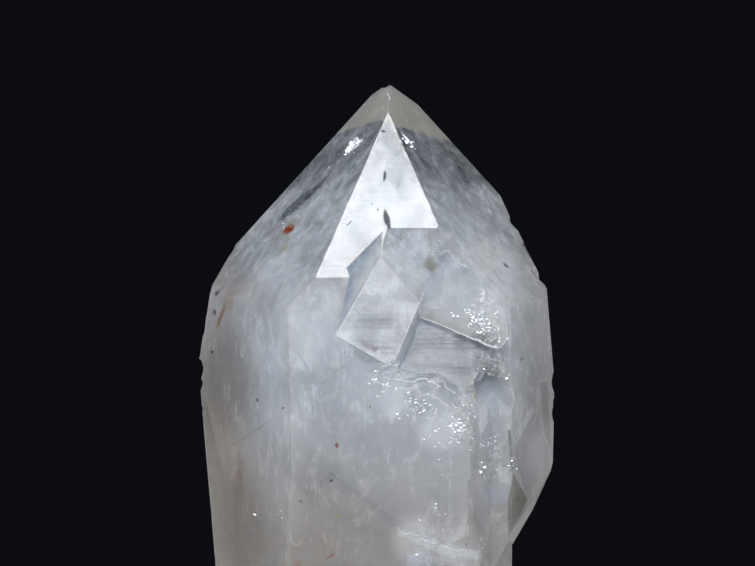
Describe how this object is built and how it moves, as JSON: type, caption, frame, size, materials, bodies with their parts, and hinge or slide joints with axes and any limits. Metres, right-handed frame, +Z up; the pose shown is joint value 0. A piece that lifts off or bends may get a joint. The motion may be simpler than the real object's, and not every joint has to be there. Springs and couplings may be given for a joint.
{
  "type": "quartz crystal on stand",
  "caption": "Large pointed quartz crystal with parallel growths, flat end faces, ledges and worn edges, standing in the socket of a plain turned wooden stand.",
  "frame": {"origin": "centre of the stand's underside", "axes": "+Z up along the crystal's long axis, -Y toward the broad front face, +X to the viewer's right"},
  "size_m": [0.1, 0.1, 0.1623],
  "materials": {
    "quartz": "milky to clear natural quartz, glossy flat faces, rough where broken",
    "dark_wood": "dark stained hardwood with a soft sheen"
  },
  "bodies": {
    "root": {"crystal": "quartz", "stand": "dark_wood"}
  },
  "joints": []
}
